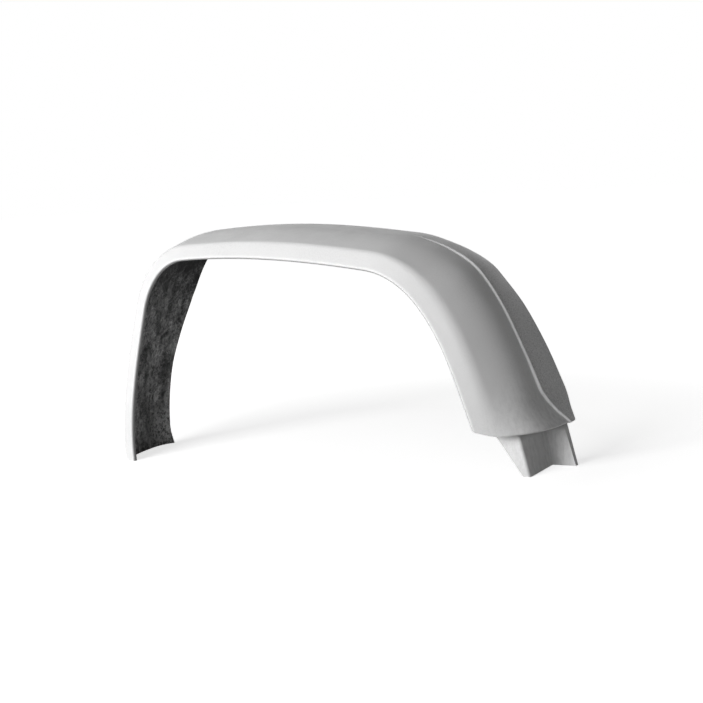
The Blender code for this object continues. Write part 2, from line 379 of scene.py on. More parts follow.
def joggle_rows(hem, ledge_height):
    """The rows that turn the hem under, run in along the ledge and turn down into the stub."""
    rows = []
    stub_top = stub_row(ledge_height)
    for i in range(1, TURN_ROWS + 1):
        turn = pi / 2 * i / TURN_ROWS
        row = []
        for edge, top in zip(hem, stub_top):
            inward = Vector((top.x - edge.x, top.y - edge.y, 0))
            radius = min(HEM_RADIUS, inward.length / 2)
            step = inward.normalized() * radius * (1 - cos(turn))
            row.append(edge + step - Vector((0, 0, HEM_RADIUS * sin(turn))))
        rows.append(row)
    under = rows[-1]
    for i in range(1, LEDGE_ROWS + 1):
        rows.append([a.lerp(b, i / LEDGE_ROWS) for a, b in zip(under, stub_top)])
    return rows


LEDGE_HEIGHT = HEM_HEIGHT - HEM_RADIUS
stub_rows = [stub_row(LEDGE_HEIGHT * (1 - i / STUB_ROWS)) for i in range(1, STUB_ROWS + 1)]
rows = shell_rows + joggle_rows(shell_rows[-1], LEDGE_HEIGHT) + stub_rows
print(len(rows), "rows in all, the last at height", rows[-1][0].z)

# %% [markdown]
# ## The cage
#
# The rows become one mesh of loose points: no edges, no faces, only places in reading order. It
# is the drawing that the geometry tree reads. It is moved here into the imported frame, so that the
# moulding stands where the solid stands, and it needs no move later.

# %% The cage's mesh
corners = [row[i] for row in rows for i in range(0, len(row), CURVE_POINTS)]
low = [min(point[axis] for point in corners) for axis in range(2)]
high = [max(point[axis] for point in corners) for axis in range(2)]
middle = [(NODE_LOW[axis] + NODE_HIGH[axis] - low[axis] - high[axis]) / 2 for axis in range(2)]
shift = Vector(middle + [0])
cage_mesh = bpy.data.meshes.new("moulding_cage")
cage_mesh.from_pydata([point + shift for row in rows for point in row], [], [])
fender = bpy.data.objects.new("fender_moulding", cage_mesh)
bpy.context.scene.collection.objects.link(fender)
print("The cage has", len(cage_mesh.vertices), "points, moved by", [round(v, 4) for v in shift])

# %% [markdown]
# ## Gelcoat
#
# Gelcoat is a pigmented polyester resin. It takes the polish of the mould, so it is smooth with a
# soft gloss. A light grey one is neutral, and dust and handling leave it a little uneven, in
# broad clouds and fine specks.
#
# Behind the step the rear strip meets the cab, so its part of the mould is left unpolished, and
# it comes out with a fine grain and a little darker. The grain is about a millimetre across, too
# fine for this view, so it is drawn coarser. Along the lip's underside, where the rolled lip turns
# down and away from the light, a narrow grey line of painted shade is laid. The moulding's mesh
# will carry an attribute for each of the two, which is one there and fades to nothing elsewhere.
#
# All the trees start alike, so one function makes a material, sets what is the same all over on
# the shader's own inputs, and hands on the piece's own coordinates. A pattern that reads those
# stays on the piece wherever the camera stands.

# %% Starting and ending a material
RESIN_IOR = 1.5


def new_material(name, constants):
    """A material, its tree, its shader with its constants, and the piece's own coordinates."""
    material = bpy.data.materials.new(name)
    material.use_nodes = True
    tree = material.node_tree
    shader = tree.nodes["Principled BSDF"]
    for setting, value in constants.items():
        shader.inputs[setting].default_value = value
    return material, tree, shader, add(tree, "ShaderNodeTexCoord", out="Object")


def feed(tree, shader, sources):
    """Links each output to the shader's input of that name."""
    for name, source in sources.items():
        tree.links.new(source, shader.inputs[name])


print("Cured resin bends light about as glass does, by", RESIN_IOR)

# %% The gelcoat's colour
GELCOAT_LIGHT = "#DEDEDE"
GELCOAT_DULL = "#D2D2D2"
GRAIN_PIT = "#B8B8B8"
LIP_UNDERSIDE_SHADE = "#868686"
GELCOAT_GLOSS = 0.2
CLOUD = 180 * MM
CLOUD_LOW, CLOUD_HIGH = 0.35, 0.65
SPECK = 4 * MM
SPECK_LOW, SPECK_HIGH = 0.45, 0.75
GRAIN = 4 * MM
GRAIN_LOW, GRAIN_HIGH = 0.42, 0.68

gelcoat, tree, shader, place = new_material("sprayed_polyester_gelcoat", {
    "IOR": RESIN_IOR, "Specular IOR Level": GELCOAT_GLOSS})
cloud = add(tree, "ShaderNodeTexNoise", {"Vector": place, "Scale": 1 / CLOUD, "Detail": 3.0})
cloud = add(tree, "ShaderNodeMapRange", {0: cloud, 1: CLOUD_LOW, 2: CLOUD_HIGH})
speck = add(tree, "ShaderNodeTexNoise", {
    "Vector": place, "Scale": 1 / SPECK, "Detail": 4.0, "Roughness": 0.7})
speck = add(tree, "ShaderNodeMapRange", {0: speck, 1: SPECK_LOW, 2: SPECK_HIGH})
dull = add(tree, "ShaderNodeMath", {0: cloud, 1: speck}, operation="MULTIPLY")
colour = add(tree, "ShaderNodeMix", {
    0: dull, 6: linear(GELCOAT_LIGHT), 7: linear(GELCOAT_DULL)}, out=2, data_type="RGBA")
strip = add(tree, "ShaderNodeAttribute", out="Fac", attribute_name="strip")
grain = add(tree, "ShaderNodeTexNoise", {
    "Vector": place, "Scale": 1 / GRAIN, "Detail": 2.0, "Roughness": 0.7})
grain = add(tree, "ShaderNodeMapRange", {0: grain, 1: GRAIN_LOW, 2: GRAIN_HIGH})
grain = add(tree, "ShaderNodeMath", {0: grain, 1: strip}, operation="MULTIPLY")
colour = add(tree, "ShaderNodeMix", {
    0: grain, 6: colour, 7: linear(GRAIN_PIT)}, out=2, data_type="RGBA")
# A narrow painted shade along the lip's underside, where it turns down from the light.
lip_shade = add(tree, "ShaderNodeAttribute", out="Fac", attribute_name="lip_shade")
colour = add(tree, "ShaderNodeMix", {
    0: lip_shade, 6: colour, 7: linear(LIP_UNDERSIDE_SHADE)}, out=2, data_type="RGBA")
print("Gelcoat:", GELCOAT_LIGHT, "dulled towards", GELCOAT_DULL)

# %% [markdown]
# ## Painted shade and grime
#
# A painted shade darkens what faces straight up, which the surface's own normal tells. It lies
# in patches.
#
# Round the stub the surface is handled and dirty, and faint streaks run down it. A dark line of
# painted shade sits in the inner corner under the hem. A noise that is stretched downwards gives
# the streaks, and the height above the floor gives the line. Both fade with the distance from the
# stub, so they need no outline of their own. The streaks and the painted shade only change the
# colour.

# %% The painted shade on what faces up
TOP_SHADE = "#6A6A6A"
TOP_SHADE_PATCH = 45 * MM
TOP_SHADE_LOW, TOP_SHADE_HIGH = 0.35, 0.65
TOP_SHADE_LEAST, TOP_SHADE_MOST = 0.05, 0.20
TOP_SHADE_FROM, TOP_SHADE_FULL = 0.93, 1.0

# Painted shade on what faces straight up, laid in patches:
facing = add(tree, "ShaderNodeNewGeometry", out="Normal")
upward = add(tree, "ShaderNodeSeparateXYZ", {0: facing}, out="Z")
upward = add(tree, "ShaderNodeMapRange", {0: upward, 1: TOP_SHADE_FROM, 2: TOP_SHADE_FULL})
top_shade = add(tree, "ShaderNodeTexNoise", {
    "Vector": place, "Scale": 1 / TOP_SHADE_PATCH, "Detail": 4.0, "Roughness": 0.6})
top_shade = add(tree, "ShaderNodeMapRange", {
    0: top_shade, 1: TOP_SHADE_LOW, 2: TOP_SHADE_HIGH, 3: TOP_SHADE_LEAST, 4: TOP_SHADE_MOST})
top_shade = add(tree, "ShaderNodeMath", {0: top_shade, 1: upward}, operation="MULTIPLY")
colour = add(tree, "ShaderNodeMix", {
    0: top_shade, 6: colour, 7: linear(TOP_SHADE)}, out=2, data_type="RGBA")
# The colour printed here is the painted shade on the upward faces.
print("Dust of", TOP_SHADE, "lies where the surface faces up")

# %% The grime and painted shade round the stub
GRIME_AND_SHADE = "#4A4A4A"
STREAK_WIDTH = 13 * MM
STREAK_LENGTH = 34 * MM
STREAK_LOW, STREAK_HIGH = 0.40, 0.66
STREAK_DARKEST = 0.2
CORNER_SHADE_DEPTH = 24 * MM
CORNER_SHADE_DARKEST = 0.75
LINE_TOP = LEDGE_HEIGHT + 0.5 * MM
STUB_MIDDLE = (0.62, 0.02, 0.08)
GRIME_AND_SHADE_NEAR, GRIME_AND_SHADE_FAR = 0.10, 0.25
GRIME_AND_SHADE_STRONGEST = 0.9

down = add(tree, "ShaderNodeVectorMath", {
    0: place, 1: (1 / STREAK_WIDTH, 1 / STREAK_WIDTH, 1 / STREAK_LENGTH)}, operation="MULTIPLY")
streaks = add(tree, "ShaderNodeTexNoise", {
    "Vector": down, "Scale": 1.0, "Detail": 4.0, "Roughness": 0.65})
streaks = add(tree, "ShaderNodeMapRange", {
    0: streaks, 1: STREAK_LOW, 2: STREAK_HIGH, 4: STREAK_DARKEST})
height = add(tree, "ShaderNodeSeparateXYZ", {0: place}, out="Z")
# A painted shade for the inner corner under the hem, from the ledge down:
below_hem = add(tree, "ShaderNodeMath", {0: height, 1: LINE_TOP}, operation="LESS_THAN")
painted_corner_shade = add(tree, "ShaderNodeMapRange", {
    0: height, 1: LEDGE_HEIGHT - CORNER_SHADE_DEPTH, 2: LEDGE_HEIGHT, 4: CORNER_SHADE_DARKEST})
painted_corner_shade = add(tree, "ShaderNodeMath", {0: painted_corner_shade, 1: below_hem}, operation="MULTIPLY")
# The darker of the dirt streaks and the painted corner shade.
grime_and_shade = add(tree, "ShaderNodeMath", {0: streaks, 1: painted_corner_shade}, operation="MAXIMUM")
from_stub = add(tree, "ShaderNodeVectorMath", {
    0: place, 1: STUB_MIDDLE}, out="Value", operation="DISTANCE")
at_stub = add(tree, "ShaderNodeMapRange", {
    0: from_stub, 1: GRIME_AND_SHADE_NEAR, 2: GRIME_AND_SHADE_FAR, 3: GRIME_AND_SHADE_STRONGEST, 4: 0.0})
grime_and_shade = add(tree, "ShaderNodeMath", {0: grime_and_shade, 1: at_stub}, operation="MULTIPLY")
colour = add(tree, "ShaderNodeMix", {
    0: grime_and_shade, 6: colour, 7: linear(GRIME_AND_SHADE)}, out=2, data_type="RGBA")
# This one colour serves the dirt streaks and the painted shade under the hem.
print("Grime of", GRIME_AND_SHADE, "fades out", GRIME_AND_SHADE_FAR, "m from the stub")

# %% [markdown]
# ## Polish
#
# The mould's surface has faint waves, about two centimetres long, and the gelcoat shows them.
# They are far too shallow to model, so a bump tilts the light instead, and the strip's grain sits
# on them as small pits.
# The polish isn't the same all over either, so the roughness drifts a little over a few
# centimetres.

# %% The gelcoat's polish
POLISH = 60 * MM
POLISH_LOW, POLISH_HIGH = 0.3, 0.7
GLOSSIEST, DULLEST = 0.30, 0.40
WAVE = 22 * MM
WAVE_HEIGHT = 0.15 * MM
GRAIN_DEPTH = 1.5  # of the pits, against the waves' height

polish = add(tree, "ShaderNodeTexNoise", {"Vector": place, "Scale": 1 / POLISH, "Detail": 3.0})
polish = add(tree, "ShaderNodeMapRange", {
    0: polish, 1: POLISH_LOW, 2: POLISH_HIGH, 3: GLOSSIEST, 4: DULLEST})
waves = add(tree, "ShaderNodeTexNoise", {"Vector": place, "Scale": 1 / WAVE, "Detail": 1.0})
uneven = add(tree, "ShaderNodeMath", {
    0: grain, 1: -GRAIN_DEPTH, 2: waves}, operation="MULTIPLY_ADD")
bump = add(tree, "ShaderNodeBump", {"Strength": 0.25, "Distance": WAVE_HEIGHT, "Height": uneven})
feed(tree, shader, {"Base Color": colour, "Roughness": polish, "Normal": bump})
print("The gelcoat has", len(tree.nodes), "nodes")

# %% [markdown]
# ## Raw laminate
#
# Behind the gelcoat, chopped glass strands lie in dark resin. No mould touches that side, so it
# shows every strand, dry patches and runs of resin. Strips of mat are laid down the legs, so its
# patches are longer than they are wide. The mould lies open side up while this is done and the
# crown is its lowest part, so resin gathers there and leaves it glossiest. The inside is also
# painted darker towards the crown, as painted shade. Dust from sanding the foot stays on the
# rough side as pale specks near the trimmed corner, laid thick enough there to add painted light.
#
# So there are four sizes of noise, for patches, mottling, strands and dust, and two masks: the
# height, for the pooled resin and the painted shade, and the distance from the foot's corner, for
# the dust and its painted light. A strand is a thin line, and a noise has such lines where it
# crosses its middle value. A real one is 50 mm long and a millimetre wide, too thin for this view,
# so its lines are drawn coarser.

# %% The laminate's patches and painted shade
RESIN_DARK = "#101010"
RESIN_GREY = "#BCBCBC"
LAMINATE_GLOSS = 0.05
PATCH_WIDTH = 36 * MM
PATCH_LENGTH = 70 * MM
PATCH_LOW, PATCH_HIGH = 0.38, 0.62
MOTTLE = 12 * MM
MOTTLE_LOW, MOTTLE_HIGH = 0.37, 0.62
DARKEST = 0.3
POOL_AND_SHADE_START, POOL_AND_SHADE_END = 0.45, 0.59
POOL_AND_SHADE_LEVEL = 0.1

laminate, tree, shader, place = new_material("chopped_strand_laminate", {
    "IOR": RESIN_IOR, "Specular IOR Level": LAMINATE_GLOSS})
laid = add(tree, "ShaderNodeVectorMath", {
    0: place, 1: (1 / PATCH_WIDTH, 1 / PATCH_WIDTH, 1 / PATCH_LENGTH)}, operation="MULTIPLY")
patch = add(tree, "ShaderNodeTexNoise", {
    "Vector": laid, "Scale": 1.0, "Detail": 2.0, "Roughness": 0.55})
patch = add(tree, "ShaderNodeMapRange", {0: patch, 1: PATCH_LOW, 2: PATCH_HIGH, 3: DARKEST})
mottle = add(tree, "ShaderNodeTexNoise", {
    "Vector": place, "Scale": 1 / MOTTLE, "Detail": 5.0, "Roughness": 0.65, "Distortion": 0.6})
mottle = add(tree, "ShaderNodeMapRange", {0: mottle, 1: MOTTLE_LOW, 2: MOTTLE_HIGH, 3: DARKEST})
height = add(tree, "ShaderNodeSeparateXYZ", {0: place}, out="Z")
# Towards the crown the colour is painted darker, as painted shade; the same ramp leaves the pooled
# resin there glossier.
dry_and_unshaded = add(tree, "ShaderNodeMapRange", {
    0: height, 1: POOL_AND_SHADE_START, 2: POOL_AND_SHADE_END, 3: 1.0, 4: POOL_AND_SHADE_LEVEL})
body = add(tree, "ShaderNodeMath", {0: patch, 1: mottle}, operation="MULTIPLY")
body = add(tree, "ShaderNodeMath", {0: body, 1: dry_and_unshaded}, operation="MULTIPLY")
resin = add(tree, "ShaderNodeMix", {
    0: body, 6: linear(RESIN_DARK), 7: linear(RESIN_GREY)}, out=2, data_type="RGBA")
print("Laminate: from", RESIN_DARK, "to", RESIN_GREY)

# %% The laminate's strands, dust and painted light
STRAND_PALE = "#DADADA"
STRAND = 34 * MM
STRAND_HALF = 0.05  # half a line's width, in the noise's own values
NOISE_MIDDLE = 0.5
DUST = 9 * MM
DUST_LOW, DUST_HIGH = 0.42, 0.55
DUST_AND_LIGHT_CORNER = (-0.69, 0.08, 0.04)
DUST_AND_LIGHT_CORE = 20 * MM
DUST_AND_LIGHT_REACH = 130 * MM
WET_ROUGH, DRY_ROUGH = 0.55, 0.75
STRAND_HEIGHT = 0.6 * MM

wander = add(tree, "ShaderNodeTexNoise", {
    "Vector": place, "Scale": 1 / STRAND, "Detail": 2.0, "Roughness": 0.5, "Distortion": 1.8})
off_line = add(tree, "ShaderNodeMath", {0: wander, 1: NOISE_MIDDLE}, operation="SUBTRACT")
off_line = add(tree, "ShaderNodeMath", {0: off_line}, operation="ABSOLUTE")
strand = add(tree, "ShaderNodeMapRange", {0: off_line, 1: 0.0, 2: STRAND_HALF, 3: 1.0, 4: 0.0})
showing = add(tree, "ShaderNodeMath", {0: strand, 1: body}, operation="MULTIPLY")
# Near the foot's corner pale specks of dust, laid thick enough to paint light where the floor's
# shade falls.
from_corner = add(tree, "ShaderNodeVectorMath", {
    0: place, 1: DUST_AND_LIGHT_CORNER}, out="Value", operation="DISTANCE")
at_corner = add(tree, "ShaderNodeMapRange", {
    0: from_corner, 1: DUST_AND_LIGHT_CORE, 2: DUST_AND_LIGHT_REACH, 3: 1.0, 4: 0.0})
dust_and_light = add(tree, "ShaderNodeTexNoise", {
    "Vector": place, "Scale": 1 / DUST, "Detail": 3.0, "Roughness": 0.7})
dust_and_light = add(tree, "ShaderNodeMapRange", {0: dust_and_light, 1: DUST_LOW, 2: DUST_HIGH})
dust_and_light = add(tree, "ShaderNodeMath", {0: dust_and_light, 1: at_corner}, operation="MULTIPLY")
showing = add(tree, "ShaderNodeMath", {0: showing, 1: dust_and_light}, operation="MAXIMUM")
colour = add(tree, "ShaderNodeMix", {
    0: showing, 6: resin, 7: linear(STRAND_PALE)}, out=2, data_type="RGBA")
rough = add(tree, "ShaderNodeMapRange", {
    0: dry_and_unshaded, 1: POOL_AND_SHADE_LEVEL, 2: 1.0, 3: WET_ROUGH, 4: DRY_ROUGH})
relief = add(tree, "ShaderNodeMath", {0: body, 1: showing}, operation="ADD")
bump = add(tree, "ShaderNodeBump", {"Strength": 0.7, "Distance": STRAND_HEIGHT, "Height": relief})
feed(tree, shader, {"Base Color": colour, "Roughness": rough, "Normal": bump})
# The same pale colour also paints light near the foot's corner.
print("Strands and dust are", STRAND_PALE)

# %% [markdown]
# ## The cut edge
#
# The moulding is trimmed with a saw and the edge is sanded. It shows the laminate's section:
# grey, matt, with fine layers along it.

# %% The edge's material
EDGE_GREY = "#6E6E6E"
EDGE_DARK = "#3E3E3E"
LAYER = 3 * MM
LAYER_LOW, LAYER_HIGH = 0.35, 0.65
LAYER_HEIGHT = 0.3 * MM

cut_edge, tree, shader, place = new_material("sanded_laminate_edge", {
    "IOR": RESIN_IOR, "Roughness": 0.75})
layers = add(tree, "ShaderNodeTexNoise", {
    "Vector": place, "Scale": 1 / LAYER, "Detail": 4.0, "Roughness": 0.7})
layers = add(tree, "ShaderNodeMapRange", {0: layers, 1: LAYER_LOW, 2: LAYER_HIGH})
colour = add(tree, "ShaderNodeMix", {
    0: layers, 6: linear(EDGE_GREY), 7: linear(EDGE_DARK)}, out=2, data_type="RGBA")
bump = add(tree, "ShaderNodeBump", {"Strength": 0.5, "Distance": LAYER_HEIGHT, "Height": layers})
feed(tree, shader, {"Base Color": colour, "Normal": bump})
print("Edge:", EDGE_GREY, "and", EDGE_DARK)

# %% [markdown]
# ## Drawing the moulding with Geometry Nodes
#
# The surface follows a rule, so a tree can draw it. A grid gets one vertex for each row and
# column. From its index a vertex works out its row, its curve and how far along that curve it is.
# Then it reads the curve's four points from the cage and halves its way between them, which is
# how a Bezier curve is drawn.
#
# The tree also stores the two attributes that the gelcoat reads: where the strip's grain is, and
# where the painted shade lies along the lip's underside.

# %% The tree's sockets
SOCKETS = (
    ("Cage", "NodeSocketGeometry"),
    ("Rows", "NodeSocketInt"), ("Curves", "NodeSocketInt"), ("Steps", "NodeSocketInt"),
    ("Hem row", "NodeSocketInt"), ("Grain from row", "NodeSocketInt"),
    ("Grain full row", "NodeSocketInt"), ("Lip shade columns", "NodeSocketInt"),
    ("Unshaded column", "NodeSocketInt"), ("Wall", "NodeSocketFloat"),
    ("Relief", "NodeSocketFloat"), ("Relief size", "NodeSocketFloat"),
    ("Seed", "NodeSocketFloat"), ("Gelcoat", "NodeSocketMaterial"),
    ("Laminate", "NodeSocketMaterial"), ("Edge", "NodeSocketMaterial"),
)
moulding = bpy.data.node_groups.new("drawn_moulding", "GeometryNodeTree")
for name, kind in SOCKETS:
    moulding.interface.new_socket(name, in_out="INPUT", socket_type=kind)
moulding.interface.new_socket("Moulding", in_out="OUTPUT", socket_type="NodeSocketGeometry")
given = moulding.nodes.new("NodeGroupInput").outputs
print("The tree takes", len(SOCKETS), "inputs")

# %% The grid's rows, curves and steps
steps = given["Steps"]
columns = add(moulding, "FunctionNodeIntegerMath", {
    0: given["Curves"], 1: steps, 2: 1}, operation="MULTIPLY_ADD")
grid = add(moulding, "GeometryNodeMeshGrid", {"Vertices X": given["Rows"], "Vertices Y": columns})
index = add(moulding, "GeometryNodeInputIndex")
row = add(moulding, "FunctionNodeIntegerMath", {0: index, 1: columns}, operation="DIVIDE_FLOOR")
column = add(moulding, "FunctionNodeIntegerMath", {0: index, 1: columns}, operation="MODULO")
last = add(moulding, "FunctionNodeIntegerMath", {0: given["Curves"], 1: 1}, operation="SUBTRACT")
curve = add(moulding, "FunctionNodeIntegerMath", {0: column, 1: steps}, operation="DIVIDE_FLOOR")
curve = add(moulding, "FunctionNodeIntegerMath", {0: curve, 1: last}, operation="MINIMUM")
before = add(moulding, "FunctionNodeIntegerMath", {0: curve, 1: steps}, operation="MULTIPLY")
past = add(moulding, "FunctionNodeIntegerMath", {0: column, 1: before}, operation="SUBTRACT")
share = add(moulding, "ShaderNodeMath", {0: past, 1: steps}, operation="DIVIDE")
print("A vertex finds its row, its curve and its share of it with", len(moulding.nodes), "nodes")

# %% The skin
per_row = add(moulding, "FunctionNodeIntegerMath", {
    0: given["Curves"], 1: CURVE_POINTS, 2: 1}, operation="MULTIPLY_ADD")
row_start = add(moulding, "FunctionNodeIntegerMath", {0: row, 1: per_row}, operation="MULTIPLY")
first = add(moulding, "FunctionNodeIntegerMath", {
    0: curve, 1: CURVE_POINTS, 2: row_start}, operation="MULTIPLY_ADD")
position = add(moulding, "GeometryNodeInputPosition")
points = []
for k in range(CURVE_POINTS + 1):
    cage_point = add(moulding, "FunctionNodeIntegerMath", {0: first, 1: k}, operation="ADD")
    points.append(add(moulding, "GeometryNodeSampleIndex", {
        "Geometry": given["Cage"], "Value": position, "Index": cage_point},
        data_type="FLOAT_VECTOR"))
while len(points) > 1:
    points = [add(moulding, "ShaderNodeMix", {0: share, 4: a, 5: b}, out=1, data_type="VECTOR")
              for a, b in zip(points, points[1:])]
skin = add(moulding, "GeometryNodeSetPosition", {"Geometry": grid, "Position": points[0]})
print("The skin is drawn by", len(moulding.nodes), "nodes")

# %% The skin's attributes
above_hem = add(moulding, "FunctionNodeCompare", {
    2: row, 3: given["Hem row"]}, data_type="INT", operation="LESS_EQUAL")
on_strip = add(moulding, "FunctionNodeCompare", {
    2: curve, 3: last}, data_type="INT", operation="EQUAL")
on_strip = add(moulding, "ShaderNodeMath", {0: on_strip, 1: above_hem}, operation="MULTIPLY")
fading = add(moulding, "ShaderNodeMapRange", {
    0: row, 1: given["Grain from row"], 2: given["Grain full row"]})
on_strip = add(moulding, "ShaderNodeMath", {0: on_strip, 1: fading}, operation="MULTIPLY")
# The lip's painted shade: full up to one column, gone by another, and only above the hem.
lip_shade_mask = add(moulding, "ShaderNodeMapRange", {
    0: column, 1: given["Lip shade columns"], 2: given["Unshaded column"], 3: 1.0, 4: 0.0})
lip_shade_mask = add(moulding, "ShaderNodeMath", {0: lip_shade_mask, 1: above_hem}, operation="MULTIPLY")
for name, mask in (("strip", on_strip), ("lip_shade", lip_shade_mask)):
    skin = add(moulding, "GeometryNodeStoreNamedAttribute", {
        "Geometry": skin, "Name": name, "Value": mask}, data_type="FLOAT", domain="POINT")
print("With its attributes it takes", len(moulding.nodes), "nodes")

# %% [markdown]
# ## The wall
#
# Extruding the skin by nothing gives a copy of it and the rim faces between the two. The copy
# then moves inwards. At a fold the plain normal would leave the wall too thin, so each vertex
# moves along the mean of its faces' normals, divided by that mean's own length twice: a mitre.
# The skin itself is joined on again and merged at the rim, and the wall is closed.

# %% The copy, moved inwards
SHARPEST_MITRE = 0.45  # of the mean's squared length, so that no mitre runs away
MERGED = 0.01 * MM

normal = add(moulding, "GeometryNodeInputNormal")
mean = add(moulding, "GeometryNodeFieldOnDomain", {
    0: normal}, data_type="FLOAT_VECTOR", domain="FACE")
square = add(moulding, "ShaderNodeVectorMath", {
    0: mean, 1: mean}, out="Value", operation="DOT_PRODUCT")
square = add(moulding, "ShaderNodeMath", {0: square, 1: SHARPEST_MITRE}, operation="MAXIMUM")
square = add(moulding, "ShaderNodeCombineXYZ", {0: square, 1: square, 2: square})
mitre = add(moulding, "ShaderNodeVectorMath", {0: mean, 1: square}, operation="DIVIDE")
marked = add(moulding, "GeometryNodeStoreNamedAttribute", {
    "Geometry": skin, "Name": "mitre", "Value": mitre}, data_type="FLOAT_VECTOR", domain="POINT")
extruded = add(moulding, "GeometryNodeExtrudeMesh", {
    "Mesh": marked, "Offset Scale": 0.0, "Individual": False}, out=None).outputs
way = add(moulding, "GeometryNodeInputNamedAttribute", {
    "Name": "mitre"}, data_type="FLOAT_VECTOR")
depth = add(moulding, "ShaderNodeMath", {0: given["Wall"], 1: -1.0}, operation="MULTIPLY")
inward = add(moulding, "ShaderNodeVectorMath", {0: way, "Scale": depth}, operation="SCALE")
inside = add(moulding, "GeometryNodeSetPosition", {
    "Geometry": extruded["Mesh"], "Selection": extruded["Top"], "Offset": inward})
flipped = add(moulding, "GeometryNodeFlipFaces", {"Mesh": inside})
joined = add(moulding, "GeometryNodeJoinGeometry", {0: flipped}, out=None)
moulding.links.new(skin, joined.inputs[0])
wall = add(moulding, "GeometryNodeMergeByDistance", {
    "Geometry": joined.outputs[0], "Distance": MERGED})
print("The wall brings it to", len(moulding.nodes), "nodes")

# %% [markdown]
# ## Relief, trim and finishes
#
# The laid-up side isn't flat: strands and resin leave it lumpy by a few tenths of a millimetre,
# so its vertices move a little on noise, apart from those on the rim. Both feet are then trimmed
# level with the floor. Last come the three finishes, chosen by which faces are skin, copy and
# rim, and Realize Instances, which keeps the result plain geometry.

# %% Relief and finishes
LOWEST_PLACE = (-10.0, -10.0, 0.0)  # only its height is ever reached

spot = add(moulding, "ShaderNodeCombineXYZ", {0: given["Seed"]})
spot = add(moulding, "ShaderNodeVectorMath", {0: position, 1: spot}, operation="ADD")
per_metre = add(moulding, "ShaderNodeMath", {0: 1.0, 1: given["Relief size"]}, operation="DIVIDE")
lumps = add(moulding, "ShaderNodeTexNoise", {"Vector": spot, "Scale": per_metre, "Detail": 2.0})
lumps = add(moulding, "ShaderNodeMath", {0: lumps, 1: NOISE_MIDDLE}, operation="SUBTRACT")
lift = add(moulding, "ShaderNodeMath", {0: lumps, 1: given["Relief"]}, operation="MULTIPLY")
lumpy = add(moulding, "ShaderNodeVectorMath", {0: normal, "Scale": lift}, operation="SCALE")
off_rim = add(moulding, "FunctionNodeBooleanMath", {
    0: extruded["Top"], 1: extruded["Side"]}, operation="NIMPLY")
raised = add(moulding, "GeometryNodeSetPosition", {
    "Geometry": wall, "Selection": off_rim, "Offset": lumpy})
level = add(moulding, "ShaderNodeVectorMath", {
    0: position, 1: LOWEST_PLACE}, operation="MAXIMUM")
trimmed = add(moulding, "GeometryNodeSetPosition", {"Geometry": raised, "Position": level})
bare = add(moulding, "GeometryNodeRemoveAttribute", {"Geometry": trimmed, "Name": "mitre"})
shaded = add(moulding, "GeometryNodeSetShadeSmooth", {"Geometry": bare})
real = add(moulding, "GeometryNodeRealizeInstances", {"Geometry": shaded})
finished = add(moulding, "GeometryNodeSetMaterial", {
    "Geometry": real, "Material": given["Gelcoat"]})
for faces, finish in (("Top", "Laminate"), ("Side", "Edge")):
    finished = add(moulding, "GeometryNodeSetMaterial", {
        "Geometry": finished, "Selection": extruded[faces], "Material": given[finish]})
add(moulding, "NodeGroupOutput", {0: finished}, out=None)
print("The whole tree has", len(moulding.nodes), "nodes")

# %% [markdown]
# ## From tree to plain mesh
#
# A modifier's inputs are set by each socket's identifier. The evaluated result is kept as a plain
# mesh, and the modifier goes. The drawn curves bulge past the solid's flat facets by a fraction
# of a millimetre, so the mesh is fitted to the solid's box. Then the folds sharper than the hem's
# are marked, so that the rim stays crisp while the skin shades as one smooth surface.

# %% The modifier's inputs
CURVE_STEPS = 7
RELIEF = 0.8 * MM
RELIEF_SIZE = 22 * MM
SEED = 3.0
GRAIN_FROM_STATION, GRAIN_FULL_STATION = 3, 4
# The painted shade under the lip is full up to the first column and gone by the second.
LIP_SHADE_COLUMNS, UNSHADED_COLUMN = 10, 13  # counted from the lip's edge

values = {
    "Rows": len(rows), "Curves": LEGS, "Steps": CURVE_STEPS, "Wall": WALL,
    "Hem row": sum(STRETCH_ROWS),
    "Grain from row": sum(STRETCH_ROWS[:GRAIN_FROM_STATION]),
    "Grain full row": sum(STRETCH_ROWS[:GRAIN_FULL_STATION]),
    "Lip shade columns": LIP_SHADE_COLUMNS, "Unshaded column": UNSHADED_COLUMN,
    "Relief": RELIEF, "Relief size": RELIEF_SIZE, "Seed": SEED,
    "Gelcoat": gelcoat, "Laminate": laminate, "Edge": cut_edge,
}
modifier = fender.modifiers.new("drawn_moulding", "NODES")
modifier.node_group = moulding
for item in moulding.interface.items_tree:
    if item.name in values:
        modifier[item.identifier] = values[item.name]
print("The modifier has", len(values), "values")

# %% The moulding's mesh
SHARP_ANGLE = 50  # degrees

drawn = bpy.data.meshes.new_from_object(
    fender.evaluated_get(bpy.context.evaluated_depsgraph_get()))
fender.modifiers.clear()
fender.data = drawn
for axis in range(3):
    places = [vertex.co[axis] for vertex in drawn.vertices]
    start, end = min(places), max(places)
    ratio = (NODE_HIGH[axis] - NODE_LOW[axis]) / (end - start)
    print("Axis", axis, "is fitted by", round((end - start) * (ratio - 1) / MM, 3), "mm")
    for vertex in drawn.vertices:
        vertex.co[axis] = NODE_LOW[axis] + (vertex.co[axis] - start) * ratio
drawn.set_sharp_from_angle(angle=radians(SHARP_ANGLE))
print("The moulding has", len(drawn.vertices), "vertices and", len(drawn.polygons), "faces")

# %% [markdown]
# ## The moulding takes the solid's place
#
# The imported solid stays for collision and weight. The drawn moulding has the same form with finer
# curves, so it replaces the solid to the eye and rides on the one body there is.

# %% Riding on the body
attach(fender, "root")
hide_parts("fender_shell")
print("The moulding replaces the solid fender_shell")

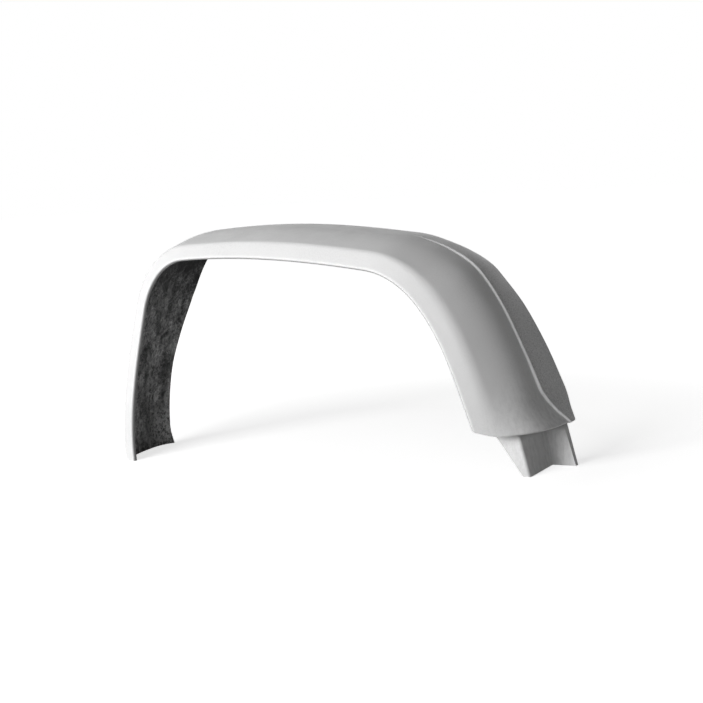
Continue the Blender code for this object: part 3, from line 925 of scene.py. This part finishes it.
# %% [markdown]
# ## Floor and backdrop
#
# A product shot has no horizon: floor and backdrop are both white to the camera. The floor is a
# pale matt plane that still takes the object's shadow. It is lifted to white only for the camera
# and for reflections, so the extra light never falls on the object. The air round it is white to
# them too, and lights the object hardly at all.

# %% The floor
WHITE = (1.0, 1.0, 1.0, 1.0)
FLOOR_SIZE = 40.0
PAPER_DULL = "#E2E2E2"
PAPER_PALE = "#E6E6E6"
PAPER_PATCH = 900 * MM
FLOOR_LIFT = 0.72
NEAR_FLOOR, FAR_FLOOR = 0.8, 2.0


def seen_rays(tree):
    """One for the rays that show the backdrop: from the camera, a reflection or a transmission."""
    rays = add(tree, "ShaderNodeLightPath", out=None).outputs
    seen = rays["Is Camera Ray"]
    for kind in ("Is Glossy Ray", "Is Transmission Ray"):
        seen = add(tree, "ShaderNodeMath", {0: seen, 1: rays[kind]}, operation="MAXIMUM")
    return seen


half = FLOOR_SIZE / 2
floor_corners = [(-half, -half, 0), (half, -half, 0), (half, half, 0), (-half, half, 0)]
floor_mesh = bpy.data.meshes.new("studio_floor")
floor_mesh.from_pydata(floor_corners, [], [(0, 1, 2, 3)])
floor = bpy.data.objects.new("studio_floor", floor_mesh)
bpy.context.scene.collection.objects.link(floor)
paper, tree, shader, place = new_material("matt_white_paper", {
    "Roughness": 0.9, "Specular IOR Level": 0.0, "Emission Color": WHITE})
shade = add(tree, "ShaderNodeTexNoise", {"Vector": place, "Scale": 1 / PAPER_PATCH})
colour = add(tree, "ShaderNodeMix", {
    0: shade, 6: linear(PAPER_DULL), 7: linear(PAPER_PALE)}, out=2, data_type="RGBA")
distance = add(tree, "ShaderNodeVectorMath", {0: place}, out="Value", operation="LENGTH")
glow = add(tree, "ShaderNodeMapRange", {
    0: distance, 1: NEAR_FLOOR, 2: FAR_FLOOR, 3: FLOOR_LIFT})
glow = add(tree, "ShaderNodeMath", {0: seen_rays(tree), 1: glow}, operation="MULTIPLY")
feed(tree, shader, {"Base Color": colour, "Emission Strength": glow})
floor_mesh.materials.append(paper)
print("The floor is", FLOOR_SIZE, "m wide, from", PAPER_DULL, "to", PAPER_PALE)

# %% The air
AMBIENT = 0.02

world = bpy.data.worlds.new("studio_air")
world.use_nodes = True
bpy.context.scene.world = world
tree = world.node_tree
background = tree.nodes["Background"]
background.inputs["Color"].default_value = WHITE
air = add(tree, "ShaderNodeMapRange", {0: seen_rays(tree), 3: AMBIENT})
feed(tree, background, {"Strength": air})
print("The air lights the object at", AMBIENT)

# %% [markdown]
# ## Lights
#
# The photograph's light is read from its tones. Faces that look forward are nearly white, the
# tread is a mid grey, and whatever looks right or back is dark, with no hard shadow edge
# anywhere. So there is one large soft light in front, a little to the left and not far above the
# object. A weak reflector behind the left shoulder keeps the crown's top from going flat, and one
# on the right opens the shade inside the narrow leg. Each light's power was matched on its own:
# light adds up, so one render for each candidate light is enough to work out how much of it the
# picture needs.

# %% The soft lights
SOFT_LIGHTS = {  # degrees right of the front, degrees above the floor, watts
    "front_softbox": (-16, 15, 278),
    "back_reflector": (-120, 45, 12),
    "right_reflector": (30, 10, 19),
}
LIGHT_DISTANCE = 5.0
LIGHT_SIZE = 2.8
AIM = Vector((0.0, 0.0, 0.35))


def soft_light(name, turn, climb, power):
    """A square soft light, placed by degrees right of the front and degrees above the floor."""
    turn, climb = radians(turn), radians(climb)
    way = Vector((sin(turn) * cos(climb), -cos(turn) * cos(climb), sin(climb)))
    light = bpy.data.lights.new(name, "AREA")
    light.size = LIGHT_SIZE
    light.energy = power
    lamp = bpy.data.objects.new(name, light)
    lamp.location = AIM + way * LIGHT_DISTANCE
    lamp.rotation_euler = way.to_track_quat("Z", "Y").to_euler()
    bpy.context.scene.collection.objects.link(lamp)


for name, (turn, climb, power) in SOFT_LIGHTS.items():
    soft_light(name, turn, climb, power)
    print(name, "gives", power, "W")

# %% [markdown]
# ## Camera
#
# The camera looks from the right of the fender's front and a little above it, and it is rolled a
# few degrees, because the photographed moulding leans. Its lens was found from how the arch
# narrows with distance: a short telephoto lens.

# %% The camera
AZIMUTH = radians(30.54)
ELEVATION = radians(8.0)
ROLL = radians(4.0)
PHOTO_SIZE = 703
FOCAL_PIXELS = 1400
SENSOR = 36.0  # millimetres, as the lens
STAND = Vector((2.7812, -3.3225, 0.8959)) + shift

back = Vector((sin(AZIMUTH) * cos(ELEVATION), -cos(AZIMUTH) * cos(ELEVATION), sin(ELEVATION)))
right = Vector((cos(AZIMUTH), sin(AZIMUTH), 0.0))
up = back.cross(right)
across = right * cos(ROLL) - up * sin(ROLL)
upward = right * sin(ROLL) + up * cos(ROLL)
turned = Matrix((across, upward, back)).transposed().to_4x4()
lens = bpy.data.cameras.new("photo_camera")
lens.sensor_width = SENSOR
lens.lens = FOCAL_PIXELS / PHOTO_SIZE * SENSOR
camera = bpy.data.objects.new("photo_camera", lens)
camera.matrix_world = Matrix.Translation(STAND) @ turned
bpy.context.scene.collection.objects.link(camera)
bpy.context.scene.camera = camera
bpy.context.scene.view_settings.view_transform = "Standard"
print("The lens is", round(lens.lens, 1), "mm")

# %% [markdown]
# ## The last update
#
# The drawn moulding has to fill the same box as the solid. Last, the view layer is brought up
# to date.

# %% Bringing the scene up to date
bpy.context.view_layer.update()
